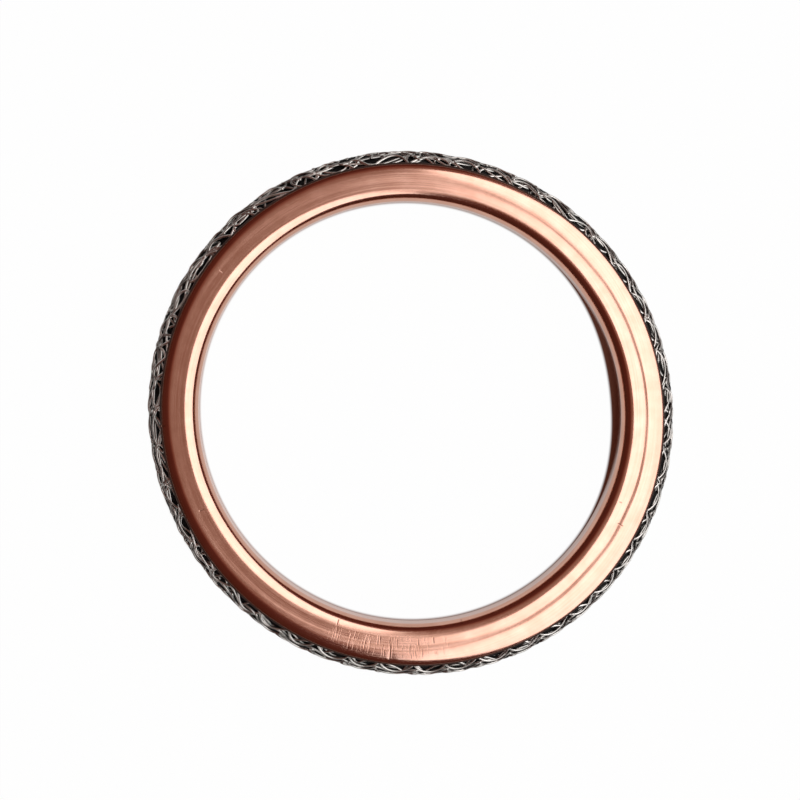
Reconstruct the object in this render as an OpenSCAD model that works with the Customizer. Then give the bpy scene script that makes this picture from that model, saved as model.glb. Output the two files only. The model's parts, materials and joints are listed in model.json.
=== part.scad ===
// Exhaust pipe gasket: a graphite ring behind a knitted steel wire net, held in a copper
// jacket that is C-shaped in section and open at the outside. It lies flat on its lower
// face, with the origin at the middle of that face and +Z up through the bore.

/* [Ring] */
// Diameter of the bore, which goes over the pipe's spigot
bore_d = 40; // [34:0.5:60]
// Width of the ring, from the bore to the outside of the wire
ring_w = 5; // [4.8:0.1:6]
// Free height, before the joint crushes it
height = 5; // [4.6:0.1:5.6]

/* [Copper jacket] */
// Thickness of the copper sheet
sheet_t = 0.35; // [0.25:0.05:0.45]
// Outside radius of the bend between the bore wall and each face
bore_bend_r = 1.2; // [0.9:0.05:1.5]
// Outside radius of the shoulder where each face slopes off to its lip
shoulder_r = 2.3; // [1.8:0.05:2.6]
// Slope at the end of the shoulder, where the lip's curl begins
shoulder_slope = 30; // [24:1:34]
// Outside radius of the curl of each lip
curl_r = 0.5; // [0.5:0.05:0.7]
// Angle through which each lip is turned over the core, from its face to its edge
lip_wrap = 80; // [65:1:85]
// How far the wire stands out past the lips
wire_proud = 1.15; // [0.9:0.05:1.3]

/* [Knitted wire] */
// Diameter of the steel wire
wire_d = 0.22; // [0.16:0.01:0.23]
// Stitches in one turn round the ring
stitches = 48; // [40:1:50]
// Courses of stitches between the two lips
courses = 3; // [2:1:3]
// Point on a loop, in degrees from its head, where the next course crosses it
cross_at = 15; // [13:1:16]

/* [Clearances] */
// Gap between two wires where they cross
wire_gap = 0.05; // [0.05:0.01:0.08]
// Gap between the wire and what it lies against
seat_gap = 0.04; // [0.03:0.01:0.08]

/* [Hidden] */
$fn = 96;

// The bore, and the plane half way up that the section mirrors about
bore_r = bore_d / 2;
outer_r = bore_r + ring_w;
mid_z = height / 2;

// Centres of the lip's curl and of the shoulder, above or below the middle plane
curl_x = outer_r - wire_proud - curl_r * sin(lip_wrap);
shoulder_x = curl_x - (shoulder_r - curl_r) * sin(shoulder_slope);
shoulder_z = mid_z - shoulder_r;
curl_z = shoulder_z + (shoulder_r - curl_r) * cos(shoulder_slope);
// Inner edge of the lip, which the net comes out from under
lip_edge_r = curl_x + (curl_r - sheet_t) * sin(lip_wrap);
lip_edge_z = curl_z + (curl_r - sheet_t) * cos(lip_wrap);

// The net bulges out as an arc that starts just under the lips and ends at the outside
net_edge_z = lip_edge_z - seat_gap;
belly_x = (outer_r + lip_edge_r) / 2 - pow(net_edge_z, 2) / (2 * (outer_r - lip_edge_r));
belly_r = outer_r - belly_x;

// The knit: each wire weaves in and out by wire_lift, so that crossing wires pass clear.
// At a crossing one wire is at a ring of its corners, and the other midway between two.
wire_r = wire_d / 2;
wire_lift = (wire_d + wire_gap) / (cos(2 * cross_at) + (1 + cos(4 * cross_at)) / 2);
wire_mid_r = belly_r - wire_r - wire_lift;
core_belly_r = wire_mid_r - wire_lift - wire_r - seat_gap;
pitch_a = 360 / stitches;
// Sideways swell of a loop, as a share of the pitch, that makes two courses cross twice
loop_swell = 0.125 / sin(2 * cross_at);
// The outermost loops end half way between the lip's edge and the end of the flat face
net_top_r = (lip_edge_r + shoulder_x) / 2;
net_top_a = acos((net_top_r - belly_x) / (wire_mid_r + wire_lift));
course_step = cos(cross_at) + sin(cross_at);
loop_a = net_top_a / (1 + course_step * (courses - 1) / 2);

// Each wire is swept as a prism with the same cross-section area as the round wire
wire_sides = 4;
prism_r = wire_r * sqrt(2 * PI / (wire_sides * sin(360 / wire_sides)));
// Phases of a stitch at which the wire has a ring of corners
side_phases = [0, 2 * cross_at, 90 - cross_at, 90 + cross_at, 180 - 2 * cross_at];
phases = [for (stitch = [0:stitches - 1], half = [0, 180], t = side_phases)
    360 * stitch + half + t];
rings = len(phases);

// Upper half of the area that the jacket's section goes round, with its outline moved in by
// inset: the bore wall, its bend, the flat of the face, the shoulder and the lip's curl
module filled_half(inset) {
    bend_x = bore_r + bore_bend_r;
    curl_from_x = curl_x + (curl_r - inset) * sin(shoulder_slope);
    translate([bore_r + inset, 0]) square([bore_bend_r - inset, mid_z - bore_bend_r]);
    translate([bend_x, mid_z - bore_bend_r]) circle(bore_bend_r - inset);
    translate([bend_x, 0]) square([shoulder_x - bend_x, mid_z - inset]);
    intersection() {
        translate([shoulder_x, shoulder_z]) circle(shoulder_r - inset);
        translate([shoulder_x, 0]) square([curl_from_x - shoulder_x, mid_z]);
    }
    translate([curl_x, curl_z]) circle(curl_r - inset);
}

module copper_jacket() {
    // Each lip ends on a line from the centre of its curl
    mouth = ring_w * [sin(lip_wrap), cos(lip_wrap)] + [curl_x, curl_z];
    color("#c07a5c") translate([0, 0, mid_z]) rotate_extrude() {
        difference() {
            for (side = [0, 1]) mirror([0, side]) filled_half(0);
            for (side = [0, 1]) mirror([0, side]) filled_half(sheet_t);
            polygon([[curl_x, curl_z], mouth, [mouth.x, -mouth.y], [curl_x, -curl_z]]);
        }
    }
}

// Fills the jacket from the bore wall to the end of the flat faces, and goes on through a
// neck between the lips to the bulge behind the net
module graphite_core() {
    neck_from_x = bore_r + bore_bend_r;
    color("#2b2b2d") translate([0, 0, mid_z]) rotate_extrude() {
        intersection() {
            for (side = [0, 1]) mirror([0, side]) filled_half(sheet_t);
            translate([bore_r, -mid_z]) square([shoulder_x - bore_r, height]);
        }
        translate([neck_from_x, -core_belly_r]) square([belly_x - neck_from_x, 2 * core_belly_r]);
        translate([belly_x, 0]) circle(core_belly_r);
    }
}

// Angle above the middle plane of the middle of a course of stitches
function course_a(course) = (course - (courses - 1) / 2) * course_step * loop_a;

// Angle above the middle plane of the wire at phase t, where one stitch is 360 degrees
function wire_tilt(course, t) = course_a(course) + loop_a * cos(t);

// Angle round the ring of the wire at phase t
function wire_turn(t) = (t / 360 + loop_swell * sin(2 * t)) * pitch_a;

// Outward direction of the bulge at an angle round the ring and a tilt above its middle
function outward(turn, tilt) = [cos(tilt) * cos(turn), cos(tilt) * sin(turn), sin(tilt)];

// Centre of the wire at phase t
function wire_at(course, t) =
    let (turn = wire_turn(t))
    [belly_x * cos(turn), belly_x * sin(turn), mid_z]
    + (wire_mid_r + wire_lift * cos(2 * t)) * outward(turn, wire_tilt(course, t));

// Corners of the wire's cross-section at phase t, with two of its sides along the bulge
function wire_ring(course, t) =
    let (
        centre = wire_at(course, t),
        along = wire_at(course, t + 1) - wire_at(course, t - 1),
        side = cross(along, outward(wire_turn(t), wire_tilt(course, t))),
        out = cross(side, along)
    )
    [for (k = [0:wire_sides - 1])
        let (a = (k + 0.5) * 360 / wire_sides)
        centre + prism_r * (cos(a) * out / norm(out) + sin(a) * side / norm(side))];

// One closed loop of wire for each course, each linked through the loops of the next
module wire_net() {
    corners = [for (course = [0:courses - 1], t = phases) each wire_ring(course, t)];
    function corner(course, i, k) =
        (course * rings + i % rings) * wire_sides + k % wire_sides;
    faces = [for (course = [0:courses - 1], i = [0:rings - 1], k = [0:wire_sides - 1])
        let (
            a = corner(course, i, k),
            b = corner(course, i, k + 1),
            c = corner(course, i + 1, k + 1),
            d = corner(course, i + 1, k)
        )
        each [[a, c, b], [a, d, c]]];
    color("#b4b2ad") polyhedron(corners, faces);
}

copper_jacket();
graphite_core();
wire_net();
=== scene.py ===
"""The looks of an exhaust pipe gasket: a crush ring of graphite behind knitted wire, in a copper jacket."""

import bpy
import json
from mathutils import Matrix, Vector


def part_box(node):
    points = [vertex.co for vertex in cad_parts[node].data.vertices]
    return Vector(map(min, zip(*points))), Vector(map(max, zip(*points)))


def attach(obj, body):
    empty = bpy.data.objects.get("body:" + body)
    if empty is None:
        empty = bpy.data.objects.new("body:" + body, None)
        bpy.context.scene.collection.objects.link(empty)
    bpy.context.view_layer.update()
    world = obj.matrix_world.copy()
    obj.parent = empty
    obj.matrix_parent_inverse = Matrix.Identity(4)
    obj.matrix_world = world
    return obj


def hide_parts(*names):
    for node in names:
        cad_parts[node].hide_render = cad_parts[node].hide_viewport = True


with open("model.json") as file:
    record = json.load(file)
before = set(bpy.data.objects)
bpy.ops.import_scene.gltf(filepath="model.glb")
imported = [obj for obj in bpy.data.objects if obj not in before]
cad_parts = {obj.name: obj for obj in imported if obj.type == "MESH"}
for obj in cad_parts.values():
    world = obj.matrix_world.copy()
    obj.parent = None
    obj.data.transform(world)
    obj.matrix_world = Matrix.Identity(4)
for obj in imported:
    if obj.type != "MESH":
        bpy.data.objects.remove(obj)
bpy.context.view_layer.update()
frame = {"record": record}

import json
import math

import bpy
import numpy as np
from mathutils import Matrix, Vector, noise

# Graphite core
# A ring of pressed graphite that fills the jacket and bulges out between its lips. It is die
# pressed with the wire round it, so it fills the net's holes nearly up to the wire and is left
# dull black, scaly and a little lumpy.

mm = 0.001
mounts = {mount["name"]: mount for mount in frame["record"]["mounts"]}
bore_r = mounts["bore"]["dims"]["r_mm"] * mm
bore_wall = mounts["bore"]["dims"]["length_mm"] * mm
lip_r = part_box("copper_jacket")[1].x
outer_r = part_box("wire_net")[1].x
mid_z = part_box("copper_jacket")[1].z / 2
sheet_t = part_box("graphite_core")[0].z

# The jacket's section, which the core fills: a bend at the bore, the flat of each face, a
# shoulder and the curl of the lip
bore_bend_r = mid_z - bore_wall / 2
shoulder_r, shoulder_slope = 2.3 * mm, math.radians(30)
curl_r, lip_wrap = 0.5 * mm, math.radians(80)
curl_x = lip_r - curl_r * math.sin(lip_wrap)
shoulder_x = curl_x - (shoulder_r - curl_r) * math.sin(shoulder_slope)
shoulder_z = mid_z - shoulder_r
curl_z = shoulder_z + (shoulder_r - curl_r) * math.cos(shoulder_slope)
lip_edge_r = curl_x + (curl_r - sheet_t) * math.sin(lip_wrap)
lip_edge_z = curl_z + (curl_r - sheet_t) * math.cos(lip_wrap)

# The bulge is an arc from just under the lips to the outside of the wire
seat_gap = 0.04 * mm
net_edge_z = lip_edge_z - seat_gap
belly_x = (outer_r + lip_edge_r) / 2 - net_edge_z ** 2 / (2 * (outer_r - lip_edge_r))
belly_r = outer_r - belly_x

# The ring has been squeezed slightly out of round, more at the rim than at the bore. Its circles,
# from the bore to the outside, are also a little off each other's centres
long_axis = math.radians(138)
bore_squeeze, rim_squeeze = 0.0085, 0.0105
circle_r = np.array([20, 21.2, 22.6, 23.8, 25]) * mm
circle_x = np.array([0.08, -0.02, 0.075, 0.32, 0.21]) * mm
circle_y = np.array([-0.02, -0.08, -0.083, -0.2, -0.13]) * mm


def out_of_round(points):
    """Moves points, an array of (x, y, z), outward along the ring's long axis and inward across it,
    and with their circle's centre."""
    turn, radius = np.arctan2(points[:, 1], points[:, 0]), np.hypot(points[:, 0], points[:, 1])
    share = np.clip((radius - bore_r) / (outer_r - bore_r), 0, 1)
    squeeze = bore_squeeze + (rim_squeeze - bore_squeeze) * share
    scale = 1 + squeeze * np.cos(2 * (turn - long_axis))
    moved = points * np.stack([scale, scale, np.ones_like(scale)], axis=1)
    moved[:, 0] += np.interp(radius, circle_r, circle_x)
    moved[:, 1] += np.interp(radius, circle_r, circle_y)
    return moved


def arc(x, z, radius, from_a, to_a, count):
    """Points of an arc in the ring's section, angles in radians from the outward direction."""
    angles = np.linspace(from_a, to_a, count)
    return np.stack([x + radius * np.cos(angles), z + radius * np.sin(angles)], axis=1)


def new_object(name, points, faces):
    """Object of a smooth shaded mesh, with points an array of (x, y, z) in metres."""
    mesh = bpy.data.meshes.new(name)
    mesh.from_pydata(points.tolist(), [], faces.tolist())
    mesh.polygons.foreach_set("use_smooth", [True] * len(mesh.polygons))
    mesh.update()
    made = bpy.data.objects.new(name, mesh)
    bpy.context.collection.objects.link(made)
    return made


def closed_grid(rows, columns):
    """Faces of a grid of points that closes on itself both along its rows and across them."""
    i, k = np.meshgrid(np.arange(rows), np.arange(columns), indexing="ij")
    on, across = (i + 1) % rows, (k + 1) % columns
    corners = [i * columns + k, on * columns + k, on * columns + across, i * columns + across]
    return np.stack(corners, axis=2).reshape(-1, 4)


def spin(name, section, steps, relief):
    """Turns a closed section, points of (radius, height above the middle plane) listed so that the
    material is on their left, round the ring's axis. relief(turn, section) gives how far each
    point moves outward along the surface, for every turn angle at once."""
    following, before = np.roll(section, -1, axis=0), np.roll(section, 1, axis=0)
    along = following - before
    normal = np.stack([along[:, 1], -along[:, 0]], axis=1)
    normal /= np.linalg.norm(normal, axis=1)[:, None]
    turn = np.linspace(0, 2 * math.pi, steps, endpoint=False)
    moved = section[None] + relief(turn, section)[:, :, None] * normal[None]
    x = moved[:, :, 0] * np.cos(turn)[:, None]
    y = moved[:, :, 0] * np.sin(turn)[:, None]
    points = np.stack([x, y, moved[:, :, 1] + mid_z], axis=2).reshape(-1, 3)
    return new_object(name, out_of_round(points), closed_grid(steps, len(section)))


def ring_noise(turn, section, cell, seed, stretch=1.0):
    """Smooth noise from -1 to 1 over the ring's surface. cell is the size of its lumps across the
    section, stretch is how many times longer they are round the ring, and seed picks a pattern."""
    values = np.empty((len(turn), len(section)))
    for i, a in enumerate(turn):
        for k, (radius, height) in enumerate(section):
            where = Vector((math.cos(a) * outer_r / stretch, math.sin(a) * outer_r / stretch, 0))
            values[i, k] = noise.noise(where / cell + Vector((height, radius, 0)) / cell
                                       + Vector((seed, 0, radius / cell)))
    return values


def core_relief(turn, section):
    """Lumps on the bulge, where the graphite is squeezed out between the wires, and hollows towards
    the lips, where the die hasn't pressed it up to the wires. Inside the jacket it is smooth."""
    lump, lump_size, lump_seed = 0.06 * mm, 0.35 * mm, 3.7
    hollow, hollow_from, hollow_to = 0.32 * mm, 0.35 * mm, 1.0 * mm
    free_within = 1.0 * mm
    free = np.clip((section[:, 0] - shoulder_x) / free_within, 0, 1)
    sunk = np.clip((np.abs(section[:, 1]) - hollow_from) / (hollow_to - hollow_from), 0, 1)
    lumps = lump * ring_noise(turn, section, lump_size, lump_seed)
    return (lumps - hollow * sunk[None]) * free[None]


def linear(hex_colour):
    """Linear red, green, blue and alpha of an sRGB hex colour."""
    parts = [int(hex_colour[i:i + 2], 16) / 255 for i in (1, 3, 5)]
    return [p / 12.92 if p <= 0.04045 else ((p + 0.055) / 1.055) ** 2.4 for p in parts] + [1.0]


def add(material, kind, inputs=None, **settings):
    """Adds a node to a material, or to the world: sets its settings, and each input to a value, to
    another node's output, or to another node, which stands for its first output in use."""
    tree = material.node_tree
    node = tree.nodes.new(kind)
    for key, value in settings.items():
        setattr(node, key, value)
    for key, value in (inputs or {}).items():
        if isinstance(value, bpy.types.Node):
            value = next(output for output in value.outputs if output.enabled)
        if isinstance(value, bpy.types.NodeSocket):
            tree.links.new(value, node.inputs[key])
        else:
            node.inputs[key].default_value = value
    return node


def new_material(name):
    """An empty material of nodes."""
    material = bpy.data.materials.new(name)
    material.use_nodes = True
    material.node_tree.nodes.clear()
    return material


def pressed_graphite():
    """Pressed graphite is a dull, scaly black that shines only faintly where light glances off it."""
    flake, flake_height = 0.18 * mm, 0.04 * mm
    made = new_material("pressed_graphite")
    place = add(made, "ShaderNodeTexCoord").outputs["Object"]
    grain = add(made, "ShaderNodeTexNoise", {"Vector": place, "Scale": 1 / flake, "Detail": 4.0})
    colour = add(made, "ShaderNodeValToRGB", {"Fac": grain})
    colour.color_ramp.elements[0].position = 0.35
    colour.color_ramp.elements[0].color = linear("#060607")
    colour.color_ramp.elements[1].position = 0.7
    colour.color_ramp.elements[1].color = linear("#161516")
    scales = add(made, "ShaderNodeBump", {"Height": grain, "Strength": 0.6, "Distance": flake_height})
    shader = add(made, "ShaderNodeBsdfPrincipled", {
        "Base Color": colour, "Roughness": 0.6, "Specular IOR Level": 0.28, "Normal": scales})
    add(made, "ShaderNodeOutputMaterial", {"Surface": shader})
    return made


# The graphite stands back this far behind the outside of the wire
weave_depth = 0.11 * mm
core_left, core_corner = bore_r + sheet_t, bore_bend_r - sheet_t
core_top = mid_z - sheet_t
core_bulge_r = belly_r - weave_depth
bulge_from = math.acos((shoulder_x - belly_x) / core_bulge_r)
corner_points, bulge_points, core_steps = 10, 90, 900
core_section = np.concatenate([
    arc(core_left + core_corner, core_corner - core_top, core_corner, math.pi, 1.5 * math.pi,
        corner_points),
    arc(belly_x, 0, core_bulge_r, -bulge_from, bulge_from, bulge_points),
    arc(core_left + core_corner, core_top - core_corner, core_corner, 0.5 * math.pi, math.pi,
        corner_points)])
graphite = spin("graphite_bulge", core_section, core_steps, core_relief)
graphite.data.materials.append(pressed_graphite())
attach(graphite, "root")
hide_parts("graphite_core")

# Copper jacket
# One ring of soft copper sheet, formed over the core by dies: a bore wall, two faces and two lips
# turned down over the wire. Drawing it leaves fine streaks round the ring and a satin surface,
# and handling has left short scratches and one nick in the lip.


def eased(share):
    """A share from 0 to 1, made to start and end softly."""
    return share * share * (3 - 2 * share)


def jacket_relief(turn, section):
    """What the dies leave on each face: a slight waviness, fine ripples round the ring, and a faint
    dish that rises to a line at its outer side. A blow has left a nick across the upper lip."""
    wave, wave_size, wave_stretch, wave_seed = 0.005 * mm, 4.5 * mm, 1.6, 11.3
    ripple, ripple_size, ripple_stretch, ripple_seed = 0.003 * mm, 0.45 * mm, 14.0, 5.1
    radius, height = section[:, 0], section[:, 1]
    relief = wave * ring_noise(turn, section, wave_size, wave_seed, wave_stretch)
    relief += ripple * ring_noise(turn, section, ripple_size, ripple_seed, ripple_stretch)

    # The dish is deepest at the right, where its rise also lies further out, and the rise wanders
    dish, dish_from, rise_from, rise_width = 0.017 * mm, 21.2 * mm, 21.95 * mm, 0.45 * mm
    usual_share, extra_share, deepest_a = 0.75, 0.6, -0.35
    wander, wander_size, wander_seed = 0.07 * mm, 3.4 * mm, 2.9
    right_shift, right_focus = 0.2 * mm, 4
    face_from, face_fade = 1.9 * mm, 0.4 * mm
    on_face = np.clip((np.abs(height) - face_from) / face_fade, 0, 1)
    shift = wander * ring_noise(turn, np.array([[rise_from, 0]]), wander_size, wander_seed)
    shift += right_shift * np.clip(np.cos(turn), 0, 1)[:, None] ** right_focus
    strength = usual_share + extra_share * np.cos(turn - deepest_a)[:, None]
    fall = np.clip((radius[None] - dish_from) / (rise_from + shift - dish_from), 0, 1)
    rise = np.clip((radius[None] - rise_from - shift) / rise_width, 0, 1)
    relief -= dish * strength * (eased(fall) - eased(rise)) * on_face[None]

    nick_a, nick_w, nick_depth = math.radians(265.3), 0.14 * mm, 0.05 * mm
    away = np.abs((turn - nick_a + math.pi) % (2 * math.pi) - math.pi) * lip_r
    on_lip = np.clip((radius - shoulder_x) / (lip_r - shoulder_x), 0, 1) * (height > 0)
    return relief - nick_depth * np.exp(-(away / nick_w) ** 2)[:, None] * on_lip[None]


def scratched(made, flat, heading, radius):
    """How scratched the copper is, from 0 to 1. Handling has left a patch of fine scratches that run
    outward and a few longer ones. flat is a place without its height, heading is its direction
    from the ring's middle and radius its distance."""
    patch_a, patch_full, patch_end = math.radians(264), math.radians(7), math.radians(16)
    patch_inside, inside_fade = 21.2 * mm, 0.4 * mm
    patch_outside, outside_fade = 23.3 * mm, 0.7 * mm
    scratch_gap, scratch_run, fine_from, fine_full = 0.13 * mm, 1.6 * mm, 0.56, 0.7
    turned = add(made, "ShaderNodeVectorMath", {0: heading, 3: bore_r / scratch_gap},
                 operation="SCALE")
    on_out = add(made, "ShaderNodeMath", {0: radius, 1: 1 / scratch_run}, operation="MULTIPLY")
    on_out = add(made, "ShaderNodeCombineXYZ", {"Z": on_out})
    outward = add(made, "ShaderNodeVectorMath", {0: turned, 1: on_out}, operation="ADD")
    fine = add(made, "ShaderNodeTexNoise", {"Vector": outward, "Scale": 1.0})
    worn = add(made, "ShaderNodeMapRange", {"Value": fine, "From Min": fine_from,
                                            "From Max": fine_full})
    towards_patch = add(made, "ShaderNodeVectorMath", {
        0: heading, 1: (math.cos(patch_a), math.sin(patch_a), 0)}, operation="DOT_PRODUCT")
    for value, none_at, full_at in (
            (towards_patch, math.cos(patch_end), math.cos(patch_full)),
            (radius, patch_inside, patch_inside + inside_fade),
            (radius, patch_outside, patch_outside - outside_fade)):
        within = add(made, "ShaderNodeMapRange", {"Value": value, "From Min": none_at,
                                                  "From Max": full_at})
        worn = add(made, "ShaderNodeMath", {0: worn, 1: within}, operation="MULTIPLY")

    # For each longer scratch its heading round the ring in degrees, the radii that it runs between
    # and half its width, in millimetres. It fades out over a sixth of its length at each end
    scratches = ((265.3, 22.0, 24.0, 0.11), (332, 22.2, 22.9, 0.07), (284, 20.15, 20.6, 0.09),
                 (183, 23.0, 23.5, 0.10), (205, 21.4, 21.9, 0.09), (276, 21.3, 21.9, 0.08),
                 (251, 20.5, 21.2, 0.09), (337, 21.5, 21.8, 0.09), (143, 21.9, 22.4, 0.06),
                 (259, 21.6, 22.7, 0.07), (262, 21.2, 22.1, 0.06), (270, 21.9, 22.8, 0.06))
    for scratch_a, from_r, to_r, half_w in scratches:
        scratch_a = math.radians(scratch_a)
        ahead = (math.cos(scratch_a), math.sin(scratch_a), 0)
        aside = (-math.sin(scratch_a), math.cos(scratch_a), 0)
        middle_r, length = (from_r + to_r) / 2 * mm, to_r - from_r
        nearness = []
        for direction, middle, none_at, full_at in (
                (aside, 0, half_w * mm, 0.0), (ahead, middle_r, length / 2 * mm, length / 3 * mm)):
            way = add(made, "ShaderNodeVectorMath", {0: flat, 1: direction}, operation="DOT_PRODUCT")
            way = add(made, "ShaderNodeMath", {0: way, 1: middle}, operation="SUBTRACT")
            way = add(made, "ShaderNodeMath", {0: way}, operation="ABSOLUTE")
            nearness.append(add(made, "ShaderNodeMapRange", {
                "Value": way, "From Min": none_at, "From Max": full_at}))
        groove = add(made, "ShaderNodeMath", {0: nearness[0], 1: nearness[1]}, operation="MULTIPLY")
        worn = add(made, "ShaderNodeMath", {0: worn, 1: groove}, operation="MAXIMUM")
    return worn


def painted_lip_shade(made, radius):
    """How much painted shade the copper gets, from 0 to 1: on the lips, where the sheet has turned
    down steeply. radius is the distance from the ring's axis."""
    lip_from, lip_full = 22.0 * mm, 22.4 * mm
    steep_from, steep_full, darkest = 0.86, 0.74, 0.93
    normal = add(made, "ShaderNodeTexCoord").outputs["Normal"]
    upright = add(made, "ShaderNodeSeparateXYZ", {"Vector": normal}).outputs["Z"]
    upright = add(made, "ShaderNodeMath", {0: upright}, operation="ABSOLUTE")
    steep = add(made, "ShaderNodeMapRange", {"Value": upright, "From Min": steep_from,
                                             "From Max": steep_full, "To Max": darkest})
    on_lip = add(made, "ShaderNodeMapRange", {"Value": radius, "From Min": lip_from,
                                              "From Max": lip_full})
    return add(made, "ShaderNodeMath", {0: steep, 1: on_lip}, operation="MULTIPLY")


def satin_copper():
    """Drawn copper: a warm pink metal with streaks that run round the ring and stretch the highlights
    across them, and painted shade on the lips where they turn down steeply."""
    streak, streak_height, mottle = 0.09 * mm, 0.0018 * mm, 1.6 * mm
    scratch_depth, scratch_dark, lip_shade_rough = 0.008 * mm, 0.55, 0.75
    made = new_material("satin_drawn_copper")
    place = add(made, "ShaderNodeTexCoord").outputs["Object"]
    xyz = add(made, "ShaderNodeSeparateXYZ", {"Vector": place})
    flat = add(made, "ShaderNodeCombineXYZ", {"X": xyz.outputs["X"], "Y": xyz.outputs["Y"]})
    radius = add(made, "ShaderNodeVectorMath", {0: flat}, operation="LENGTH")
    heading = add(made, "ShaderNodeVectorMath", {0: flat}, operation="NORMALIZE")

    # The streaks are noise that changes fast with radius and height and slowly round the ring:
    # one turn is a circle of radius slow_circle through it
    slow_circle = 2.4
    slow = add(made, "ShaderNodeVectorMath", {0: heading, 3: slow_circle}, operation="SCALE")
    fast = add(made, "ShaderNodeCombineXYZ", {"X": radius, "Z": xyz.outputs["Z"]})
    fast = add(made, "ShaderNodeVectorMath", {0: fast, 3: 1 / streak}, operation="SCALE")
    lines = add(made, "ShaderNodeVectorMath", {0: slow, 1: fast}, operation="ADD")
    drawn = add(made, "ShaderNodeTexNoise", {"Vector": lines, "Scale": 1.0, "Detail": 3.0})
    cloud = add(made, "ShaderNodeTexNoise", {"Vector": place, "Scale": 1 / mottle, "Detail": 5.0})
    tone = add(made, "ShaderNodeMath", {0: drawn, 1: cloud}, operation="ADD")
    tone = add(made, "ShaderNodeMath", {0: tone, 1: 0.5}, operation="MULTIPLY")
    colour = add(made, "ShaderNodeValToRGB", {"Fac": tone})
    colour.color_ramp.elements[0].position = 0.34
    colour.color_ramp.elements[0].color = linear("#d8a792")
    colour.color_ramp.elements[1].position = 0.64
    colour.color_ramp.elements[1].color = linear("#eabdaa")
    rough = add(made, "ShaderNodeMapRange", {"Value": drawn, "From Min": 0.3, "From Max": 0.7,
                                             "To Min": 0.12, "To Max": 0.19})
    relief = add(made, "ShaderNodeBump", {"Height": drawn, "Strength": 0.5,
                                          "Distance": streak_height})

    worn = scratched(made, flat, heading, radius)
    relief = add(made, "ShaderNodeBump", {"Height": worn, "Strength": 1.0, "Distance": scratch_depth,
                                          "Normal": relief}, invert=True)
    dulled = add(made, "ShaderNodeMath", {0: worn, 1: scratch_dark}, operation="MULTIPLY")
    colour = add(made, "ShaderNodeMix", {0: dulled, 6: colour, 7: linear("#5a3a2e")},
                 data_type="RGBA")

    # The scratches go through the painted shade on the lips
    unscratched = add(made, "ShaderNodeMath", {0: 1.0, 1: worn}, operation="SUBTRACT")
    lip_shade = add(made, "ShaderNodeMath", {0: painted_lip_shade(made, radius), 1: unscratched},
                operation="MULTIPLY")
    # Painted shade: the steep part of the lips is darkened to a deep brown and made rougher
    colour = add(made, "ShaderNodeMix", {0: lip_shade, 6: colour, 7: linear("#2e1b17")},
                 data_type="RGBA")
    rough = add(made, "ShaderNodeMix", {0: lip_shade, 2: rough, 3: lip_shade_rough}, data_type="FLOAT")
    round_ring = add(made, "ShaderNodeTangent", direction_type="RADIAL", axis="Z")
    shader = add(made, "ShaderNodeBsdfPrincipled", {
        "Base Color": colour, "Metallic": 1.0, "Roughness": rough, "Anisotropic": 0.4,
        "Tangent": round_ring, "Normal": relief})
    add(made, "ShaderNodeOutputMaterial", {"Surface": shader})
    return made


def half_jacket(inset, wall_points, face_points, bend_points):
    """Upper half of one side of the sheet, moved in by inset, from the middle of the bore wall to the
    lip's edge."""
    up, curl_points = 0.5 * math.pi, bend_points // 2
    bend_x, bend_z = bore_r + bore_bend_r, mid_z - bore_bend_r
    return np.concatenate([
        [[bore_r + inset, z] for z in np.linspace(0, bend_z, wall_points, endpoint=False)],
        arc(bend_x, bend_z, bore_bend_r - inset, math.pi, up, bend_points),
        [[x, mid_z - inset] for x in np.linspace(bend_x, shoulder_x, face_points)[1:-1]],
        arc(shoulder_x, shoulder_z, shoulder_r - inset, up, up - shoulder_slope, bend_points),
        arc(curl_x, curl_z, curl_r - inset, up - shoulder_slope, up - lip_wrap, curl_points)[1:]])


def mirrored(points):
    """The same points below the middle plane, in the opposite order."""
    return points[::-1] * [1, -1]


jacket_steps = 580
outside = half_jacket(0, wall_points=5, face_points=20, bend_points=16)
inside = half_jacket(sheet_t, wall_points=5, face_points=4, bend_points=6)
jacket_section = np.concatenate([mirrored(outside)[:-1], outside, inside[::-1], mirrored(inside[1:])])
jacket = spin("formed_jacket", jacket_section[::-1], jacket_steps, jacket_relief)
jacket.data.materials.append(satin_copper())
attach(jacket, "root")
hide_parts("copper_jacket")

# Knitted wire
# Stainless wire, knitted into a sock, rolled up with the graphite and pressed. Each course is one
# wire whose loops pass through those of the next course. What shows is the outermost layer, with
# parts of the two layers behind it.

wire_d = 0.22 * mm
# Tilt on the bulge from one course to the next, half the height of a loop, and how far the wire
# weaves in and out
course_a, loop_a, weave_lift = math.radians(27.5), math.radians(18), 0.11 * mm
# Heading of the side where the net lies open
open_a = math.radians(130)


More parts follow.
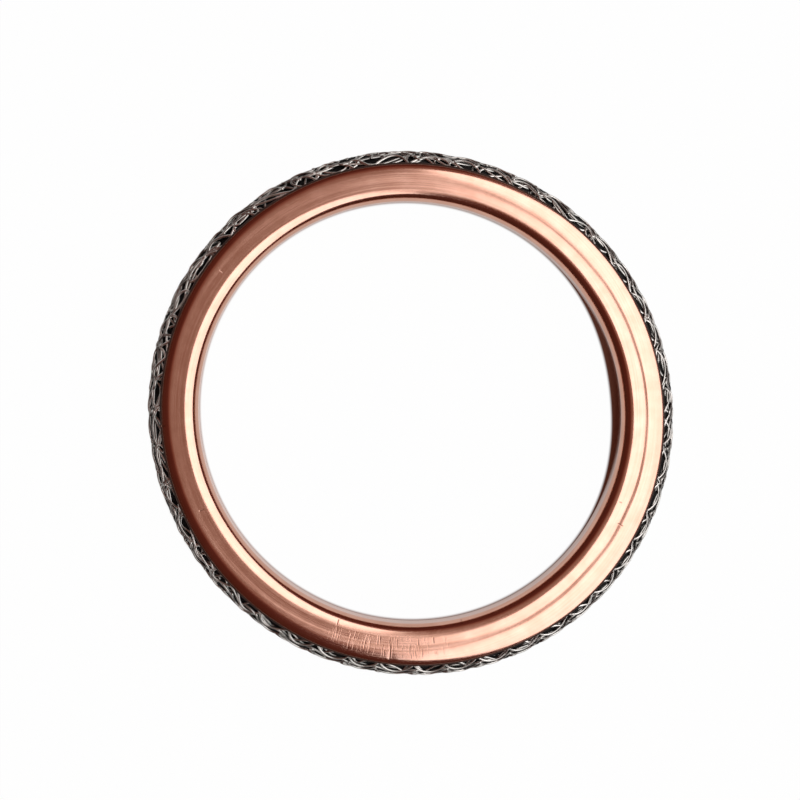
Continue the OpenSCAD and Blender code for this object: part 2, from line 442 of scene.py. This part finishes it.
def drawn_wire():
    """Drawn stainless wire is bright and smooth, and faintly yellow from the heat of annealing. Between
    the lips and the middle of the bulge it is made darker."""
    bright_above, dull_below, dull_above, bright_below = 1.4 * mm, 0.95 * mm, 0.65 * mm, 0.35 * mm
    dullest, middle_share, tint_size = 0.75, 0.15, 1.2 * mm
    made = new_material("drawn_stainless_wire")
    place = add(made, "ShaderNodeTexCoord").outputs["Object"]
    height = add(made, "ShaderNodeSeparateXYZ", {"Vector": place}).outputs["Z"]
    height = add(made, "ShaderNodeMath", {0: height, 1: mid_z}, operation="SUBTRACT")
    height = add(made, "ShaderNodeMath", {0: height}, operation="ABSOLUTE")
    below_lip = add(made, "ShaderNodeMapRange", {"Value": height, "From Min": bright_above,
                                                 "From Max": dull_below, "To Max": dullest})
    off_middle = add(made, "ShaderNodeMapRange", {"Value": height, "From Min": bright_below,
                                                  "From Max": dull_above, "To Min": middle_share})
    dulled = add(made, "ShaderNodeMath", {0: below_lip, 1: off_middle}, operation="MULTIPLY")
    tint = add(made, "ShaderNodeTexNoise", {"Vector": place, "Scale": 1 / tint_size, "Detail": 2.0})
    colour = add(made, "ShaderNodeValToRGB", {"Fac": tint})
    colour.color_ramp.elements[0].position = 0.4
    colour.color_ramp.elements[0].color = linear("#d0d2ce")
    colour.color_ramp.elements[1].position = 0.6
    colour.color_ramp.elements[1].color = linear("#fafaf6")
    colour = add(made, "ShaderNodeMix", {0: dulled, 6: colour, 7: linear("#666664")},
                 data_type="RGBA")
    shader = add(made, "ShaderNodeBsdfPrincipled", {
        "Base Color": colour, "Metallic": 1.0, "Roughness": 0.28})
    add(made, "ShaderNodeOutputMaterial", {"Surface": shader})
    return made


def tube(centre, outward, sides):
    """Points and faces of a closed wire with this many sides. centre is its middle line, and outward
    the direction away from the bulge at each of its points."""
    along = np.roll(centre, -1, axis=0) - np.roll(centre, 1, axis=0)
    side = np.cross(along, outward)
    side /= np.linalg.norm(side, axis=1)[:, None]
    up = np.cross(side, along)
    up /= np.linalg.norm(up, axis=1)[:, None]
    angle = np.arange(sides) * 2 * math.pi / sides
    points = centre[:, None] + wire_d / 2 * (np.cos(angle)[None, :, None] * up[:, None]
                                             + np.sin(angle)[None, :, None] * side[:, None])
    # The sides follow each other the other way round than in a turned section
    return points.reshape(-1, 3), closed_grid(len(centre), sides)[:, [0, 3, 2, 1]]


def knit(name, mid_r, stitches, offset, lean, open_rise, disorder, seed, rings=24, sides=8):
    """A knitted layer on the bulge: five courses, the outermost two just under the lips. mid_r is how
    far the middle of the weave is from the bulge's centre, and it is more by open_rise on the side
    where the net lies open and less on the other. offset turns the layer by a share of a stitch.
    lean widens the part of each loop towards the middle and draws its other part together, as a
    share of a stitch. disorder is how uneven the loops are, as a share of their size: more on the
    open side and less on the other. rings is the number of points along a stitch."""
    slowest_wave, open_disorder = 5, 0.6
    random = np.random.default_rng(seed)
    pitch_a = 2 * math.pi / stitches

    def wander(t):
        """Smooth noise from about -1 to 1 along a closed wire."""
        waves = np.arange(slowest_wave, stitches)
        size, phase = random.normal(size=len(waves)), random.uniform(0, 2 * math.pi, len(waves))
        total = (size[:, None] * np.sin(waves[:, None] * t[None] / stitches + phase[:, None])).sum(0)
        return total / math.sqrt(len(waves))

    points, faces = [], []
    for course in (-2, -1, 0, 1, 2):
        t = np.linspace(0, 2 * math.pi * stitches, stitches * rings, endpoint=False)
        uneven = disorder * (1 + open_disorder * np.cos(t / stitches - open_a))
        size = loop_a * (1 + uneven * wander(t))
        way, leaning = (-1 if course < 0 else 1), (0 if course == 0 else lean)
        tilt = course * course_a + way * size * np.cos(t)
        turn = (t / (2 * math.pi) + offset - leaning * np.sin(t)) * pitch_a
        turn += pitch_a * uneven * wander(t)
        out = mid_r + weave_lift / 2 * (np.cos(2 * t) + np.sin(t))
        out += open_rise * np.cos(turn - open_a) + uneven * wire_d / 2 * wander(t)
        outward = np.stack([np.cos(tilt) * np.cos(turn), np.cos(tilt) * np.sin(turn), np.sin(tilt)], 1)
        middle = [belly_x * np.cos(turn), belly_x * np.sin(turn), np.full_like(turn, mid_z)]
        centre = out[:, None] * outward + np.stack(middle, 1)
        course_points, course_faces = tube(centre, outward, sides)
        faces.append(len(points) * len(course_points) + course_faces)
        points.append(course_points)
    layer = new_object(name, out_of_round(np.concatenate(points)), np.concatenate(faces))
    layer.data.materials.append(wire)
    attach(layer, "root")
    return layer


wire = drawn_wire()
outer_mid_r = belly_r - wire_d / 2 - weave_lift / 2
second_behind, third_behind = 0.08 * mm, 0.24 * mm
outer_knit = knit("outer_knit", outer_mid_r, stitches=48, offset=0, lean=0.14, open_rise=0,
                  disorder=0.14, seed=21)
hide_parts("wire_net")
knit("second_knit", outer_mid_r - second_behind, stitches=46, offset=0.5, lean=-0.12,
     open_rise=0.03 * mm, disorder=0.22, seed=22)
knit("third_knit", outer_mid_r - third_behind, stitches=38, offset=0.25, lean=0,
     open_rise=0.15 * mm, disorder=0.3, seed=23, sides=6)

# Floor, light and camera
# A plain white floor, one large soft light from the upper right, and a camera almost straight
# above the ring.


def clear_of_painted_shadow(made, place, away):
    """1 on the floor in the bore and 0 past the bore's wall, on a place that is this far away from the
    ring's axis. On the window's side the line between them lies further in by a crescent of painted
    shadow, drawn by position where the wall would keep the light off the floor."""
    to_window, depth, taper, edge = (0.996, 0.087, 0), 0.6 * mm, 10.0, 0.12 * mm
    heading = add(made, "ShaderNodeVectorMath", {0: place}, operation="NORMALIZE")
    facing = add(made, "ShaderNodeVectorMath", {0: heading, 1: to_window}, operation="DOT_PRODUCT")
    facing = add(made, "ShaderNodeMath", {0: facing, 1: 0.0}, operation="MAXIMUM")
    crescent = add(made, "ShaderNodeMath", {0: facing, 1: taper}, operation="POWER")
    reach = add(made, "ShaderNodeMath", {0: crescent, 1: depth, 2: away}, operation="MULTIPLY_ADD")
    # The bore's wall stands further out along the ring's long axis and to the right
    along = add(made, "ShaderNodeVectorMath", {
        0: heading, 1: (math.cos(long_axis), math.sin(long_axis), 0)}, operation="DOT_PRODUCT")
    along = add(made, "ShaderNodeMath", {0: along, 1: 2.0}, operation="POWER")
    wall = add(made, "ShaderNodeMath", {0: along, 1: 2 * bore_r * bore_squeeze,
                                        2: -bore_r * bore_squeeze}, operation="MULTIPLY_ADD")
    aside = add(made, "ShaderNodeVectorMath", {
        0: heading, 1: (circle_x[0], circle_y[0], 0)}, operation="DOT_PRODUCT")
    wall = add(made, "ShaderNodeMath", {0: wall, 1: aside}, operation="ADD")
    reach = add(made, "ShaderNodeMath", {0: reach, 1: wall}, operation="SUBTRACT")
    return add(made, "ShaderNodeMapRange", {"Value": reach, "From Min": bore_r + edge,
                                            "From Max": bore_r - edge})


def white_floor():
    """Matt white that is lifted to pure white where it is seen, and less where it is mirrored. It isn't
    lifted under the ring and at the foot of the bore's wall on the window's side, so the shadow
    stays there. Under the ring's inner foot and in the crescent it is also a painted brown shadow."""
    lift_seen, lift_mirrored = 0.985, 0.4
    made = new_material("matt_white_floor")
    place = add(made, "ShaderNodeTexCoord").outputs["Object"]
    away = add(made, "ShaderNodeVectorMath", {0: place}, operation="LENGTH")
    bore_clear_of_painted_shadow = clear_of_painted_shadow(made, place, away)
    beyond = add(made, "ShaderNodeMapRange", {"Value": away, "From Min": shoulder_x,
                                              "From Max": outer_r})
    lit = add(made, "ShaderNodeMath", {0: bore_clear_of_painted_shadow, 1: beyond}, operation="MAXIMUM")
    past_bore = add(made, "ShaderNodeMath", {0: away, 1: bore_r + bore_bend_r},
                    operation="GREATER_THAN")
    outside_painted_shadow = add(made, "ShaderNodeMath", {0: bore_clear_of_painted_shadow, 1: past_bore}, operation="MAXIMUM")
    path = add(made, "ShaderNodeLightPath").outputs
    mirrored_rays = add(made, "ShaderNodeMath", {
        0: path["Is Glossy Ray"], 1: path["Is Transmission Ray"]}, operation="MAXIMUM")
    mirrored_part = add(made, "ShaderNodeMath", {0: mirrored_rays, 1: lift_mirrored},
                        operation="MULTIPLY")
    seen_part = add(made, "ShaderNodeMath", {0: path["Is Camera Ray"], 1: lift_seen},
                    operation="MULTIPLY")
    lift = add(made, "ShaderNodeMath", {0: seen_part, 1: mirrored_part}, operation="ADD")
    share = add(made, "ShaderNodeMath", {0: lift, 1: lit}, operation="MULTIPLY")
    # a67b6a is painted shadow: brown shade under the ring's inner foot and in the crescent at the bore's
    # wall
    paint = add(made, "ShaderNodeMix", {0: outside_painted_shadow, 6: linear("#a67b6a"), 7: linear("#cac6c2")},
                data_type="RGBA")
    matt = add(made, "ShaderNodeBsdfDiffuse", {"Color": paint})
    white = add(made, "ShaderNodeEmission", {"Color": linear("#ffffff"), "Strength": 1.0})
    both = add(made, "ShaderNodeMixShader", {0: share, 1: matt, 2: white})
    add(made, "ShaderNodeOutputMaterial", {"Surface": both})
    return made


floor_half = 3.0
floor = new_object("floor", np.array([[-floor_half, -floor_half, 0], [floor_half, -floor_half, 0],
                                      [floor_half, floor_half, 0], [-floor_half, floor_half, 0]]),
                   np.array([[0, 1, 2, 3]]))
floor.data.materials.append(white_floor())

# The room is dim with red-brown walls, and its ceiling is brighter towards the window
world = bpy.data.worlds.new("dim_room")
bpy.context.scene.world = world
world.use_nodes = True
world.node_tree.nodes.clear()
ceiling_zenith, ceiling_azimuth = math.radians(19), math.radians(50)
facing = add(world, "ShaderNodeVectorMath", {
    0: add(world, "ShaderNodeTexCoord").outputs["Generated"],
    1: (math.sin(ceiling_zenith) * math.cos(ceiling_azimuth),
        math.sin(ceiling_zenith) * math.sin(ceiling_azimuth), math.cos(ceiling_zenith))},
    operation="DOT_PRODUCT")
walls = add(world, "ShaderNodeValToRGB", {"Fac": facing})
walls.color_ramp.elements[0].position = 0.0
walls.color_ramp.elements[0].color = linear("#4a2a22")
walls.color_ramp.elements[1].position = 0.92
walls.color_ramp.elements[1].color = linear("#a0857b")
walls.color_ramp.elements.new(0.7).color = linear("#5c2e25")
walls.color_ramp.elements.new(0.8).color = linear("#84574a")
room = add(world, "ShaderNodeBackground", {"Color": walls, "Strength": 1.0})
# Past the floor the camera sees a white backdrop, which lights nothing
backdrop = add(world, "ShaderNodeBackground", {"Color": linear("#ffffff"), "Strength": 1.0})
seen = add(world, "ShaderNodeMixShader", {
    0: add(world, "ShaderNodeLightPath").outputs["Is Camera Ray"], 1: room, 2: backdrop})
add(world, "ShaderNodeOutputWorld", {"Surface": seen})

ring_middle = Vector((0, 0, mid_z))


def polar(distance, zenith, azimuth):
    """A point at a distance from the ring's middle, by its degrees from straight up and its azimuth."""
    zenith, azimuth = math.radians(zenith), math.radians(azimuth)
    flat = math.sin(zenith)
    return ring_middle + distance * Vector((flat * math.cos(azimuth), flat * math.sin(azimuth),
                                            math.cos(zenith)))


# The window faces the ring. It reaches further towards the lower right than towards the upper right
window_width, window_height, window_watts = 1.34, 0.74, 5.7
window_distance, window_zenith, window_azimuth, window_shift = 0.6, 34.5, -4, 0.03
window = bpy.data.lights.new("window", "AREA")
window.shape = "RECTANGLE"
window.size, window.size_y = window_width, window_height
window.energy = window_watts
window_lamp = bpy.data.objects.new("window", window)
bpy.context.collection.objects.link(window_lamp)
window_lamp.location = polar(window_distance, window_zenith, window_azimuth)
window_lamp.rotation_euler = (ring_middle - window_lamp.location).to_track_quat("-Z", "Y").to_euler()
window_lamp.location.y -= window_shift

# The photograph's upward direction is +Y, and the ring lies a little right of and below its middle
camera_tilt, camera_heading, camera_distance = 2.5, 130, 0.27
frame_width = 76.12 * mm
frame_middle = Vector((-0.85 * mm, 1.16 * mm, mid_z))
camera_data = bpy.data.cameras.new("camera")
camera_data.sensor_width = 36
camera_data.lens = camera_data.sensor_width * camera_distance / frame_width
camera_data.clip_start = 0.01
camera = bpy.data.objects.new("camera", camera_data)
bpy.context.collection.objects.link(camera)
camera.location = polar(camera_distance, camera_tilt, camera_heading)
back = (camera.location - frame_middle).normalized()
right = Vector((0, 1, 0)).cross(back).normalized()
camera.rotation_euler = Matrix((right, back.cross(right), back)).transposed().to_euler()
bpy.context.scene.camera = camera

bpy.context.scene.view_settings.view_transform = "Standard"
